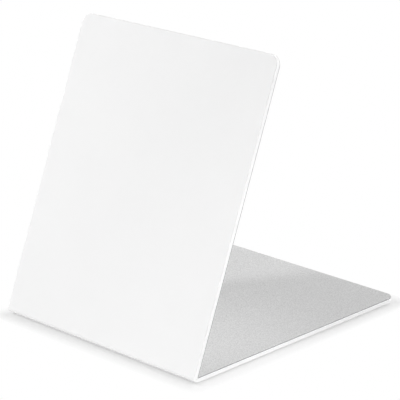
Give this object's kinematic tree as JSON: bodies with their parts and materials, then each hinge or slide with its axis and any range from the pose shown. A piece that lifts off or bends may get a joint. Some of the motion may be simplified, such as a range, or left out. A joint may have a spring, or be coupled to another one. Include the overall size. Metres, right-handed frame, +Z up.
{
  "type": "mini whiteboard",
  "caption": "Small free-standing desk whiteboard: one white composite sheet folded into a leaning writing panel and a flat base behind it, on thin anti-slip pads.",
  "frame": {"origin": "on the desk, below the middle of the part's box", "axes": "+X to the right across the writing face, +Y backwards along the base, +Z up from the desk"},
  "size_m": [0.15, 0.1706, 0.1684],
  "materials": {
    "white_lacquer": "gloss",
    "white_core": "satin",
    "grey_coat": "matte",
    "clear_glue": "satin",
    "pad_rubber": "matte",
    "white_tape": "matte"
  },
  "bodies": {
    "root": {"outer_skin": "white_lacquer", "panel_core": "white_core", "base_core": "white_core", "panel_back_skin": "grey_coat", "base_top_skin": "grey_coat", "fold_glue": "clear_glue", "foot_front_left": "pad_rubber", "foot_front_right": "pad_rubber", "foot_rear_left": "pad_rubber", "foot_rear_right": "pad_rubber", "tape_front_left": "white_tape", "tape_front_right": "white_tape", "tape_rear_left": "white_tape", "tape_rear_right": "white_tape"}
  },
  "joints": []
}
